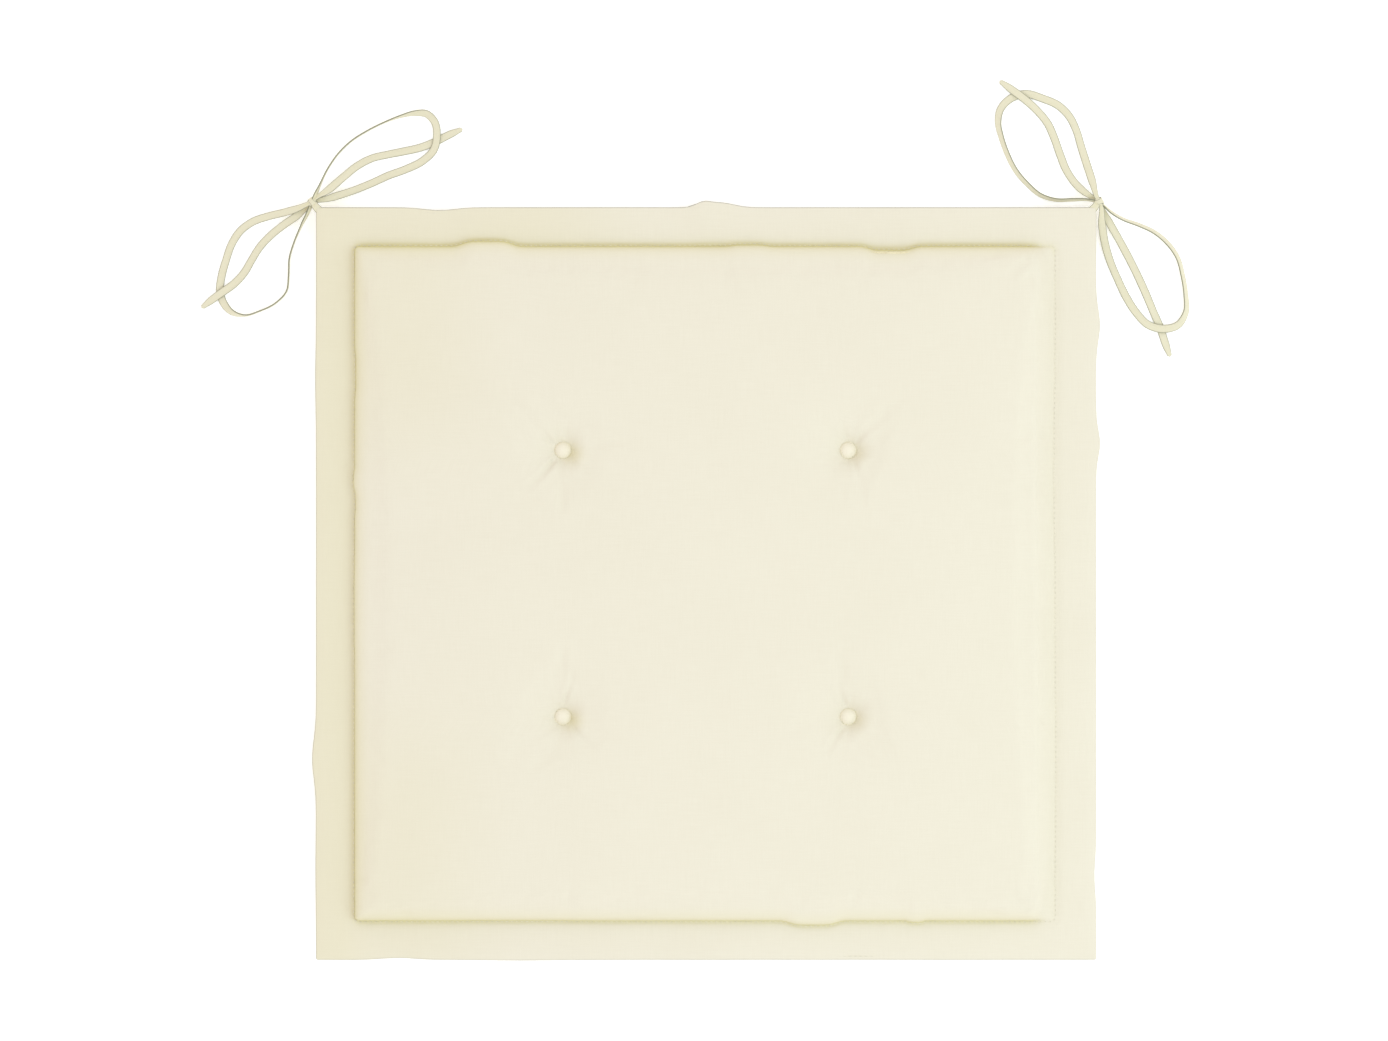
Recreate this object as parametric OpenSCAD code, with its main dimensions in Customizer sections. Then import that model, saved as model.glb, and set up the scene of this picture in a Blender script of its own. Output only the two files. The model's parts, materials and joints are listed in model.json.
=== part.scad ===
// Square seat pad for a chair: foam and wadding in a two-panel cloth cover with a flat stitched border,
// four button tufts, and a pair of tapes tied in a bow at each rear corner.
// Millimetres. Origin at the middle of the underside, +X to the right, +Y to the rear edge, +Z up.

/* [Pad] */
// Width between the outer edges of the border
pad_w = 500; // [440:1:560]
// Depth between the rear and front edges of the border
pad_d = 483; // [420:1:540]
// Thickness of the stuffed middle, underside to top
pad_t = 30; // [29:1:38]
// Height of the seam where the two panels meet
seam_z = 11; // [10.5:0.5:13]
// Thickness of the cover cloth
cloth_t = 1; // [0.9:0.1:1.3]

/* [Border] */
// Width of the flat border at the left and right
border_side = 26; // [18:1:40]
// Width of the flat border at the rear and front
border_end = 24; // [18:1:40]
// Rounding of the border's four corners, seen from above
border_corner = 3; // [2:0.5:5]
// Distance of the closing seam from the outer edge
edge_seam_inset = 2; // [1.5:0.5:4]
// Distance of the stitched line from the foot of the stuffed middle
stitch_gap = 1; // [0.5:0.1:2]
// Thickness of the sewing thread
thread_t = 0.5; // [0.3:0.1:0.6]

/* [Stuffing] */
// Thickness of the wadding round the foam
wadding_t = 3; // [2:0.5:3.5]
// Rounding of the top shoulder, from the side wall in to the flat middle
shoulder_top = 8; // [7:1:12]
// Rounding of the bottom shoulder
shoulder_bottom = 6; // [5:1:10]
// Rounding of the stuffed middle's corners, seen from above
body_corner = 7; // [6:1:14]

/* [Tufts] */
// Distance between the left and right tufts
tuft_gap_x = 183; // [140:1:220]
// Distance between the rear and front tufts
tuft_gap_y = 171; // [140:1:210]
// Depth of the pit round a top button
pit_depth_top = 8.5; // [7:0.5:9]
// Depth of the pit round a bottom button
pit_depth_bottom = 4.5; // [4:0.5:5]
// Radius at which a top pit meets the flat middle
pit_r_top = 17; // [13:1:22]
// Radius at which a bottom pit meets the underside
pit_r_bottom = 14; // [12:1:20]
// Radius of a covered button
button_r = 5.5; // [5:0.25:6]
// Height of a covered button's dome above its rim
button_h = 3.2; // [2.8:0.1:3.6]
// Thickness of the twine that joins two buttons
twine_d = 1.4; // [1:0.1:1.6]

/* [Ties] */
// Width of the tie tape
tape_w = 5; // [4:0.1:5]
// Thickness of the tie tape
tape_t = 1.2; // [1:0.1:1.3]
// Radius of the knot of a bow
knot_r = 3; // [2.8:0.1:3.2]
// Length of tape that is sewn in between the panels
sewn_l = 14; // [8:1:20]

/* [Hidden] */
eps = 0.01;
lip = 0.2;                           // height that a pit's outline runs past the face it is cut in
cloth_white = [0.95, 0.93, 0.86];
thread_white = [0.90, 0.87, 0.78];
metal_grey = [0.75, 0.75, 0.77];
body_hx = pad_w / 2 - border_side;   // half width of the stuffed middle at the seam
body_hy = pad_d / 2 - border_end;    // half depth of the stuffed middle at the seam
twine_hole_r = twine_d / 2 + 0.2;
pit_floor_r = button_r + 0.7;
button_cloth_t = 0.7;                // cloth over the cap
cap_t = 0.4;                         // metal of the cap
back_t = 0.6;                        // plate that closes the cap
shank_l = 2.5;
shank_r = 0.8;
top_seat_z = pad_t - pit_depth_top;  // where a top button's rim rests
bottom_seat_z = pit_depth_bottom;    // where a bottom button's rim rests
sewn_t = 1.4;                        // both layers of tape inside the seam
stand_start = 1.8;                   // gap that lets the bow swing clear of the border's corner
knot_out = [3.2, 4];                 // place of a knot from the border's corner, sideways and rearwards
knot_z = 9.5;

// Tufts: name, side (-1 left, 1 right), end (1 rear, -1 front)
TUFTS = [["rear_left", -1, 1], ["rear_right", 1, 1], ["front_left", -1, -1], ["front_right", 1, -1]];
TUFT_PIECES = ["top_button_cover", "top_button_cap", "top_button_back", "tuft_twine",
    "bottom_button_back", "bottom_button_cap", "bottom_button_cover"];

// Routes of the tapes' loops and tails: [x, y, lift, roll] from the knot, where lift is the height of the
// tape's lower edge above the ground, and roll is 0 for a tape that lies flat and 90 for one on its edge.
LEFT_REAR_LOOP = [[1, 2, 8.6, 50], [4.5, 10, 4.4, 80], [10, 22, 0.8, 90], [17, 32, 0, 90],
    [25.5, 40, 0, 90], [35, 46, 0, 90], [46, 51.5, 0, 90], [57, 55.5, 0.2, 75], [66, 57.5, 0.6, 50],
    [73.5, 57, 1.2, 20], [78.5, 52, 1.4, 5], [80, 43, 1.4, 0], [78, 34, 0.9, 0], [71, 27, 0.2, 0],
    [60, 21.5, 0, 0], [49, 17.5, 0, 0], [38, 12.5, 0.2, 0], [27, 8, 1.2, 0], [17, 4.5, 3.8, 0],
    [9, 2, 6.6, 0], [2, 0.5, 8.2, 0]];
LEFT_SIDE_TAIL = [[-1, -1, 7.6, 0], [-9, -8, 5, 0], [-18, -14, 2, 0], [-27, -21, 0.3, 0],
    [-34.5, -29, 0, 0], [-39.5, -37, 0, 0], [-44.5, -45.5, 0.3, 0], [-51.5, -53, 1.2, 0],
    [-58.5, -58, 1.5, 0], [-65.5, -63, 0.7, 0], [-72, -68, 0, 0]];
LEFT_SIDE_LOOP = [[-1, -0.5, 9.4, 0], [-9, -4, 7.6, 0], [-18, -6.5, 4.2, 0], [-29, -9, 0.9, 0],
    [-39, -12.5, 0, 0], [-46.5, -18, 0, 0], [-52.5, -27, 0, 0], [-56, -37, 0, 0], [-59, -48, 0, 0],
    [-60, -57, 0, 0], [-57.5, -65, 0, 10], [-52, -71, 0, 45], [-44, -73, 0, 80], [-34, -70, 0, 90],
    [-24, -65, 0, 90], [-17, -57.5, 0, 90], [-15.5, -47, 0, 90], [-15, -36, 0, 90], [-12, -26, 0.6, 90],
    [-7, -15, 3, 80], [-1.5, -4, 6.6, 50]];
LEFT_REAR_TAIL = [[1, 1, 9.4, 0], [10, 7.5, 7.4, 0], [19.5, 16, 3, 0], [28.5, 23.5, 0.4, 0],
    [38, 28.5, 0, 0], [48.5, 31, 0, 0], [58.5, 33, 0, 0], [69.5, 35.5, 0, 0], [79.5, 39.5, 0, 0],
    [88.5, 44, 0, 0], [96.5, 47.5, 0, 0]];
RIGHT_REAR_LOOP = [[-1, 2, 9.4, 0], [-4, 13, 6.4, 0], [-7.5, 25, 1.8, 0], [-11, 36.5, 0.1, 0],
    [-14, 46.5, 0, 0], [-18.5, 55.5, 0, 0], [-25.5, 62.5, 0, 0], [-35.5, 67, 0, 0], [-47, 70, 0, 0],
    [-56.5, 67, 0, 0], [-63, 60, 0, 15], [-64.5, 51.5, 0, 40], [-62.5, 42, 0, 52], [-59, 32, 0, 55],
    [-53.5, 21, 0, 58], [-46, 12, 0, 60], [-37, 4.5, 0, 64], [-27, 1.5, 0.7, 70], [-17, 1.5, 2.8, 72],
    [-8, 1.5, 5.4, 74], [-2, 0.5, 7, 60]];
RIGHT_SIDE_TAIL = [[1, -2, 7.6, 0], [7, -13, 4, 0], [13.5, -24, 1, 0], [19.5, -35, 0, 0], [25, -46, 0, 0],
    [30.5, -58, 0, 0], [35.5, -70, 0, 0], [40, -80.5, 0, 0], [43, -89.5, 0, 0], [46.5, -99.5, 0, 0]];
RIGHT_SIDE_LOOP = [[1, -2, 9.6, 0], [2, -13, 7, 0], [4, -25, 2.4, 0], [7.5, -37, 0.2, 0], [12.5, -49, 0, 0],
    [18.5, -61.5, 0.1, 0], [25, -71.5, 0.6, 0], [32.5, -79, 1.4, 0], [42, -81.5, 1.5, 0],
    [51.5, -79, 0.8, 15], [56.5, -71, 0.1, 40], [56.5, -59.5, 0, 52], [54.5, -47, 0, 55],
    [51.5, -36, 0, 55], [45, -26.5, 0, 55], [36, -19, 0.1, 58], [26, -14.5, 1, 62], [16, -11, 3, 66],
    [8, -6.5, 5.2, 66], [2, -1.5, 6.6, 60]];
RIGHT_REAR_TAIL = [[-1, 1, 7.8, 0], [-8.5, 6, 6, 0], [-15.5, 13, 2.8, 0], [-20.5, 21, 0.7, 0],
    [-24.5, 31, 0, 0], [-28, 41, 0, 0], [-32.5, 51, 0, 0], [-40, 60, 0.6, 0], [-48, 67, 1.5, 0],
    [-56, 73, 0.8, 0], [-63.5, 78.5, 0, 0]];

// Tapes: name, side (-1 left, 1 right), layer in the standing part (1 upper, -1 lower), loop, tail
TAPES = [
    ["left_tape_rear_loop", -1, 1, LEFT_REAR_LOOP, LEFT_SIDE_TAIL],
    ["left_tape_side_loop", -1, -1, LEFT_SIDE_LOOP, LEFT_REAR_TAIL],
    ["right_tape_rear_loop", 1, 1, RIGHT_REAR_LOOP, RIGHT_SIDE_TAIL],
    ["right_tape_side_loop", 1, -1, RIGHT_SIDE_LOOP, RIGHT_REAR_TAIL]];
SIDES = [["left", -1], ["right", 1]];

// ---- shared shapes ----

// Flat rectangle with rounded corners
module rounded_rect(hx, hy, r) {
    square([2 * (hx - r), 2 * hy], center = true);
    square([2 * hx, 2 * (hy - r)], center = true);
    for (sx = [-1, 1], sy = [-1, 1])
        translate([sx * (hx - r), sy * (hy - r)])
            circle(r, $fn = 32);
}

// One half of the stuffing's outer form, above (up = 1) or below (up = -1) the seam, "skin" inside the
// cover's outer face. The shoulder is a quarter of an ellipse.
module half_body(skin, up) {
    rise = (up > 0 ? pad_t - seam_z : seam_z) - skin;
    shoulder = up > 0 ? shoulder_top : shoulder_bottom;
    hull()
        for (a = [0 : 15 : 90]) {
            inset = skin + shoulder * (1 - cos(a));
            mid_z = seam_z + up * min(max(rise * sin(a), eps), rise) - up * eps / 2;
            translate([0, 0, mid_z])
                linear_extrude(eps, center = true)
                    rounded_rect(body_hx - inset, body_hy - inset, body_corner - skin);
        }
}

// Hollows that the tufts pull into the top (up = 1) or the bottom (up = -1), sunk by "skin"
module pits(skin, up) {
    depth = up > 0 ? pit_depth_top : pit_depth_bottom;
    mouth_r = up > 0 ? pit_r_top : pit_r_bottom;
    face_z = up > 0 ? pad_t : 0;
    wall = [for (t = [0 : 0.2 : 1])
        [pit_floor_r + (mouth_r - pit_floor_r) * t, lip - (depth + lip) * pow(1 - t, 2)]];
    for (t = TUFTS)
        translate([t[1] * tuft_gap_x / 2, t[2] * tuft_gap_y / 2, face_z - up * skin])
            mirror([0, 0, up > 0 ? 0 : 1])
                rotate_extrude($fn = 40)
                    polygon(concat([[0, -depth]], wall, [[mouth_r, pad_t], [0, pad_t]]));
}

module tufted_half(skin, up) {
    difference() {
        half_body(skin, up);
        pits(skin, up);
        twine_holes();
    }
}

module twine_holes() {
    for (t = TUFTS)
        translate([t[1] * tuft_gap_x / 2, t[2] * tuft_gap_y / 2, -1])
            cylinder(r = twine_hole_r, h = pad_t + 2, $fn = 24);
}

// One layer of the pad's outer part, between two depths under the cover's outer face
module layer(outer_skin, inner_skin, up) {
    difference() {
        tufted_half(outer_skin, up);
        tufted_half(inner_skin, up);
    }
}

// ---- cover ----

module panel(up) {
    color(cloth_white)
        difference() {
            union() {
                layer(0, cloth_t, up);
                translate([0, 0, up > 0 ? seam_z : seam_z - cloth_t])
                    linear_extrude(cloth_t)
                        difference() {
                            rounded_rect(pad_w / 2, pad_d / 2, border_corner);
                            rounded_rect(body_hx - cloth_t, body_hy - cloth_t, body_corner - cloth_t);
                        }
            }
            for (s = SIDES)
                sewn_strip(s[1]);
        }
}

// Continuous line of thread round the pad, "out" beyond the foot of the stuffed middle
module thread_ring(hx, hy, r, low_z, height) {
    color(thread_white)
        translate([0, 0, low_z])
            linear_extrude(height)
                difference() {
                    rounded_rect(hx + thread_t / 2, hy + thread_t / 2, r + thread_t / 2);
                    rounded_rect(hx - thread_t / 2, hy - thread_t / 2, r - thread_t / 2);
                }
}

module border_stitch(up) {
    thread_ring(body_hx + stitch_gap, body_hy + stitch_gap, body_corner,
        up > 0 ? seam_z + cloth_t : seam_z - cloth_t - thread_t, thread_t);
}

module edge_seam() {
    thread_ring(pad_w / 2 - edge_seam_inset, pad_d / 2 - edge_seam_inset, 2,
        seam_z - thread_t / 2, thread_t);
}

// ---- stuffing ----

module wadding(up) {
    color("white")
        layer(cloth_t, cloth_t + wadding_t, up);
}

module foam_core() {
    color([0.96, 0.94, 0.80]) {
        tufted_half(cloth_t + wadding_t, 1);
        tufted_half(cloth_t + wadding_t, -1);
    }
}

// ---- tufts ----

// Quarter-ellipse shell of a button, rim down
module dome(r, h, t) {
    arc = [for (a = [0 : 15 : 90]) [cos(a), sin(a)]];
    rotate_extrude($fn = 40)
        polygon(concat([for (p = arc) [r * p.x, h * p.y]],
            [for (i = [len(arc) - 1 : -1 : 0]) [(r - t) * arc[i].x, (h - t) * arc[i].y]]));
}

module button_back() {
    color(metal_grey) {
        cylinder(r = button_r - button_cloth_t - cap_t - 0.3, h = back_t, $fn = 40);
        translate([0, 0, -shank_l])
            cylinder(r = shank_r, h = shank_l + eps, $fn = 24);
    }
}

module button_piece(piece) {
    if (piece == "cover")
        color(cloth_white)
            dome(button_r, button_h, button_cloth_t);
    if (piece == "cap")
        color(metal_grey)
            dome(button_r - button_cloth_t, button_h - button_cloth_t, cap_t);
    if (piece == "back")
        button_back();
}

module tuft_piece(name) {
    if (name == "tuft_twine")
        color(thread_white)
            translate([0, 0, bottom_seat_z + shank_l])
                cylinder(r = twine_d / 2, h = top_seat_z - bottom_seat_z - 2 * shank_l, $fn = 24);
    for (piece = ["cover", "cap", "back"]) {
        if (name == str("top_button_", piece))
            translate([0, 0, top_seat_z])
                button_piece(piece);
        if (name == str("bottom_button_", piece))
            translate([0, 0, bottom_seat_z])
                mirror([0, 0, 1])
                    button_piece(piece);
    }
}

// ---- ties ----

// Frame at the tip of the border's rear corner on one side: +X points outwards along the diagonal
module at_corner_tip(side) {
    in = border_corner * (1 - cos(45));
    translate([side * (pad_w / 2 - in), pad_d / 2 - in, 0])
        rotate([0, 0, 90 - side * 45])
            children();
}

// Both tapes' ends, one on the other between the panels
module sewn_strip(side) {
    color(thread_white)
        at_corner_tip(side)
            translate([-sewn_l, -tape_w / 2, seam_z - sewn_t / 2])
                cube([sewn_l - 0.5, tape_w, sewn_t]);
}

function knot_at(side) = [side * (pad_w / 2 + knot_out.x), pad_d / 2 + knot_out.y, 0];
function unit(v) = v / norm(v);

// Height of the tape's middle when its lower edge is "lift" above the ground
function middle_z(p) = p[2] + tape_w / 2 * sin(p[3]) + tape_t / 2 * cos(p[3]);
function place(p) = [p.x, p.y, middle_z(p)];

// A tape is gathered narrower where it goes into its knot
function gather(p) = min(1, 0.5 + norm([p.x, p.y]) / 24);

// Eight corners of the tape's section at one place of its route
function section(route, i) =
    let (n = len(route) - 1,
        along = unit(place(route[min(i + 1, n)]) - place(route[max(i - 1, 0)])),
        level = unit(cross([0, 0, 1], along)),
        rise = cross(along, level),
        roll = route[i][3],
        wide = cos(roll) * level + sin(roll) * rise,
        thick = cos(roll) * rise - sin(roll) * level,
        hw = tape_w / 2 * gather(route[i]),
        ht = tape_t / 2,
        bevel = 0.4)
    [for (c = [[hw, ht - bevel], [hw - bevel, ht], [bevel - hw, ht], [-hw, ht - bevel],
        [-hw, bevel - ht], [bevel - hw, -ht], [hw - bevel, -ht], [hw, bevel - ht]])
        place(route[i]) + c[0] * wide + c[1] * thick];

module swept_tape(route) {
    n = len(route);
    sides = 8;
    rings = [for (i = [0 : n - 1]) each section(route, i)];
    walls = [for (i = [0 : n - 2]) for (j = [0 : sides - 1])
        let (a = i * sides + j, b = i * sides + (j + 1) % sides)
        each [[a, b, b + sides], [a, b + sides, a + sides]]];
    polyhedron(rings, concat([[for (j = [sides - 1 : -1 : 0]) j]], walls,
        [[for (j = [0 : sides - 1]) (n - 1) * sides + j]]), convexity = 10);
}

module tape(side, level, loop, tail) {
    color(cloth_white) {
        translate(knot_at(side)) {
            swept_tape(loop);
            swept_tape(tail);
        }
        at_corner_tip(side)
            translate([stand_start, -tape_w / 4, seam_z - tape_t * (1 - level) / 2])
                rotate([0, 20, 0])
                    cube([knot_r, tape_w / 2, tape_t * 0.9]);
    }
}

module bow_knot(side) {
    color(cloth_white)
        translate(knot_at(side) + [0, 0, knot_z])
            sphere(knot_r, $fn = 32);
}

// ---- the pieces ----

panel(1);  // cover_top_panel
panel(-1);  // cover_bottom_panel
wadding(1);  // wadding_top
wadding(-1);  // wadding_bottom
foam_core();
border_stitch(1);  // border_stitch_upper_thread
border_stitch(-1);  // border_stitch_under_thread
edge_seam();  // edge_seam_thread
for (t = TUFTS) for (p = TUFT_PIECES)
    translate([t[1] * tuft_gap_x / 2, t[2] * tuft_gap_y / 2, 0]) tuft_piece(p);
for (s = SIDES) {
    sewn_strip(s[1]);
    bow_knot(s[1]);
}
for (t = TAPES)
    tape(t[1], t[2], t[3], t[4]);
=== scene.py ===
import json
import math

import bpy
import numpy as np
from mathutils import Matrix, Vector, noise


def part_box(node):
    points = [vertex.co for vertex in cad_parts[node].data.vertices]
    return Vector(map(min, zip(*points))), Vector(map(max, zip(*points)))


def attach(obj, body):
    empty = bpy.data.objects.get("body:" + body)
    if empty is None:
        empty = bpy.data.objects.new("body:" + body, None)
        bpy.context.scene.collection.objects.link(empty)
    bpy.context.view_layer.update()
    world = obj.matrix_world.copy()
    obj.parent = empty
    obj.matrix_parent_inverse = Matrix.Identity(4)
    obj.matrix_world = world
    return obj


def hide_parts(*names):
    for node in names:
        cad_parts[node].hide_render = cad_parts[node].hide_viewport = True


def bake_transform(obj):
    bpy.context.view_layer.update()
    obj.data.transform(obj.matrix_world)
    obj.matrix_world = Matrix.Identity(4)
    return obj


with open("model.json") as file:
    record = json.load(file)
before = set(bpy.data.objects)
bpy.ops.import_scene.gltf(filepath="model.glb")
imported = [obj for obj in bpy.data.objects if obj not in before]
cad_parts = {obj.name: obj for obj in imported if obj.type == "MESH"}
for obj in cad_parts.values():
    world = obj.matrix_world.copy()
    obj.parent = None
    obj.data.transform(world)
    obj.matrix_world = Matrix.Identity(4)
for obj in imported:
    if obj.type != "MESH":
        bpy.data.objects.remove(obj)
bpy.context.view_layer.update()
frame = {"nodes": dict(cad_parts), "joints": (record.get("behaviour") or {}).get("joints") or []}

# Lengths in the geometry below are in millimetres; MM turns them into the frame's metres.
MM = 0.001
SEED = Vector((3.7, 11.2, 5.1))

# ---------------------------------------------------------------- sizes, from the frame

panel_low, panel_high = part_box("cover_top_panel")
wad_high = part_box("wadding_top")[1]
button_low, button_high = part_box("front_right_top_button_cover")
under_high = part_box("front_right_bottom_button_cover")[1]
EDGE_X, EDGE_Y = panel_high.x / MM, panel_high.y / MM
TOP_Z, SEAM_Z = panel_high.z / MM, panel_low.z / MM
CLOTH = (panel_high.z - wad_high.z) / MM
FOOT_X, FOOT_Y = wad_high.x / MM + CLOTH, wad_high.y / MM + CLOTH
TUFT_X = (button_low.x + button_high.x) / 2 / MM
TUFT_Y = -(button_low.y + button_high.y) / 2 / MM
BUTTON_R = (button_high.x - button_low.x) / 2 / MM
BUTTON_H = (button_high.z - button_low.z) / MM
TOP_SEAT_Z = button_low.z / MM
BOTTOM_SEAT_Z = under_high.z / MM

TUFTS = {"rear_left": (-1, 1), "rear_right": (1, 1), "front_left": (-1, -1), "front_right": (1, -1)}
SIDES = {"left": -1, "right": 1}
BODY_CORNER = 2.5                   # corner radius at the foot of the stuffed middle
BORDER_CORNER = 1.2                 # and of the border's outline
SHOULDER_TOP = 8.5                  # width of the rounded shoulder above the border
SHOULDER_BOTTOM = 6.5               # and below it
SHOULDER_EASE = 7.5                 # how much wider the shoulder is along the right side
SHOULDER_POWER = 2.3                # 2 rounds the shoulder as an ellipse, and more makes it squarer
EDGE_RISE = 0.66                    # how much of its height the stuffed middle has reached at the shoulder
CROWN_REACH = 110                   # and how far in from its foot it reaches the rest
PIT_FLOOR_R = BUTTON_R + 0.5        # radius of a tuft's floor under its button
PIT_TOP_R, PIT_BOTTOM_R = 21, 15    # radius of a tuft's mouth, above and below
LEAN = math.radians(-20)            # the way that the buttons lean: the hollow is deepest there
PANEL_T = 0.55                      # thickness of a panel's cloth as it is drawn
GROOVE, BORDER_LOFT = 0.55, 0.55    # depth of the stitched groove, and how far the border swells beyond it
STITCH_OUT = 1.0                    # the stitched line's distance from the foot of the stuffed middle
STITCH_PITCH, STITCH_LENGTH, STITCH_R = 3.2, 2.5, 0.28
STITCH_SINK = 0.55                  # how far the two ends of a stitch dive into the cloth
SEAM_IN, SEAM_R = 2.2, 0.22         # the closing seam's distance from the outline, and its thread's radius

# ---------------------------------------------------------------- small helpers


def smooth(t):
    t = np.clip(t, 0, 1)
    return t * t * (3 - 2 * t)


def bell(x, centre, width):
    return np.exp(-(((x - centre) / width) ** 2))


def wobble(x, y, z, size, octaves=2):
    """Smooth repeatable noise, about -1 to 1, with features of roughly this size in mm."""
    return noise.fractal(Vector((x / size, y / size, z / size)) + SEED, 1.0, 2.0, octaves)


wobble_grid = np.vectorize(wobble, otypes=[float])


def circle(count):
    """The angles of evenly spaced points round a circle."""
    return np.linspace(0, 2 * math.pi, count, endpoint=False)


def unit(v):
    return v / np.maximum(np.linalg.norm(v, axis=-1, keepdims=True), 1e-9)


def distances(points):
    """Distance along a line of points, from its first point to each."""
    return np.concatenate([[0], np.cumsum(np.linalg.norm(np.diff(points, axis=0), axis=1))])


def tube_faces(rings, sides, start=0):
    """Faces round a tube's rings of points, with a flat cap on each end."""
    faces = []
    for i in range(rings - 1):
        for j in range(sides):
            a, b = start + i * sides + j, start + i * sides + (j + 1) % sides
            faces.append((a, b, b + sides, a + sides))
    last = start + (rings - 1) * sides
    faces.append(tuple(start + j for j in range(sides - 1, -1, -1)))
    faces.append(tuple(last + j for j in range(sides)))
    return faces


def inside(x, y):
    """Distance in from the foot of the stuffed middle, a rounded rectangle; negative outside it."""
    qx, qy = np.abs(x) - (FOOT_X - BODY_CORNER), np.abs(y) - (FOOT_Y - BODY_CORNER)
    out = np.hypot(np.maximum(qx, 0), np.maximum(qy, 0))
    return BODY_CORNER - out - np.minimum(np.maximum(qx, qy), 0)


def add_object(name, data):
    obj = bpy.data.objects.new(name, data)
    bpy.context.scene.collection.objects.link(obj)
    return obj


def joined(parts):
    """The points and faces of several parts as one; each part starts with its points and its faces."""
    faces, start = [], 0
    for part in parts:
        faces += [tuple(start + k for k in face) for face in part[1]]
        start += len(part[0])
    return np.concatenate([part[0] for part in parts]), faces


def make_mesh(name, verts, faces, body, slot, material):
    """A new piece from points in millimetres, riding on a CAD body unless body is None."""
    mesh = bpy.data.meshes.new(name)
    mesh.from_pydata([tuple(v) for v in np.asarray(verts) * MM], [], [tuple(f) for f in faces])
    mesh.validate()
    mesh.update()
    obj = add_object(name, mesh)
    mesh.polygons.foreach_set("use_smooth", [True] * len(mesh.polygons))
    mesh.materials.append(material)
    if body:
        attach(obj, body)
    return obj


def point_value(obj, name, values):
    attribute = obj.data.attributes.new(name, "FLOAT", "POINT")
    attribute.data.foreach_set("value", np.asarray(values, float).ravel())


def cloth_map(obj, across, along):
    """A UV map in metres of cloth, so that the weave follows the cloth."""
    layer = obj.data.uv_layers.new(name="cloth")
    index = np.empty(len(obj.data.loops), int)
    obj.data.loops.foreach_get("vertex_index", index)
    uv = np.stack([np.ravel(across)[index], np.ravel(along)[index]], axis=1) * MM
    layer.data.foreach_set("uv", uv.ravel())


# ---------------------------------------------------------------- materials


def set_inputs(node, **values):
    for key, value in values.items():
        node.inputs[key.replace("_", " ")].default_value = value


def new_material(name, color, roughness, sheen=0.0, metallic=0.0):
    material = bpy.data.materials.new(name)
    material.use_nodes = True
    shader = material.node_tree.nodes["Principled BSDF"]
    set_inputs(shader, Base_Color=(*color, 1), Roughness=roughness, Metallic=metallic)
    set_inputs(shader, Specular_IOR_Level=0.25)
    if sheen:
        set_inputs(shader, Sheen_Weight=sheen, Sheen_Roughness=0.45)
    return material


class Nodes:
    """Short hand for adding and linking shader nodes in one material."""

    def __init__(self, material):
        self.tree = material.node_tree
        self.shader = self.tree.nodes["Principled BSDF"]

    def add(self, kind, settings=None, **inputs):
        node = self.tree.nodes.new(kind)
        for key, value in (settings or {}).items():
            setattr(node, key, value)
        for key, value in inputs.items():
            self.put(node.inputs[key.replace("_", " ")], value)
        return node

    def put(self, socket, value):
        if isinstance(value, bpy.types.NodeSocket):
            self.tree.links.new(value, socket)
        else:
            socket.default_value = value

    def math(self, operation, a, b=0.0, clamp=False):
        node = self.add("ShaderNodeMath", {"operation": operation, "use_clamp": clamp})
        self.put(node.inputs[0], a)
        self.put(node.inputs[1], b)
        return node.outputs[0]

    def mix_color(self, factor, a, b):
        node = self.add("ShaderNodeMix", {"data_type": "RGBA"})
        self.put(node.inputs["Factor"], factor)
        self.put(node.inputs["A"], a)
        self.put(node.inputs["B"], b)
        return node.outputs["Result"]

    def color(self, factor, a, b):
        self.put(self.shader.inputs["Base Color"], self.mix_color(factor, a, b))

    def place(self):
        return self.add("ShaderNodeTexCoord").outputs["Object"]

    def bump(self, strength, distance, height):
        node = self.add("ShaderNodeBump", Strength=strength, Distance=distance, Height=height)
        self.put(self.shader.inputs["Normal"], node.outputs["Normal"])

    def roughness(self, value, low, high):
        node = self.add("ShaderNodeMapRange", Value=value, To_Min=low, To_Max=high)
        self.put(self.shader.inputs["Roughness"], node.outputs["Result"])


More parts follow.
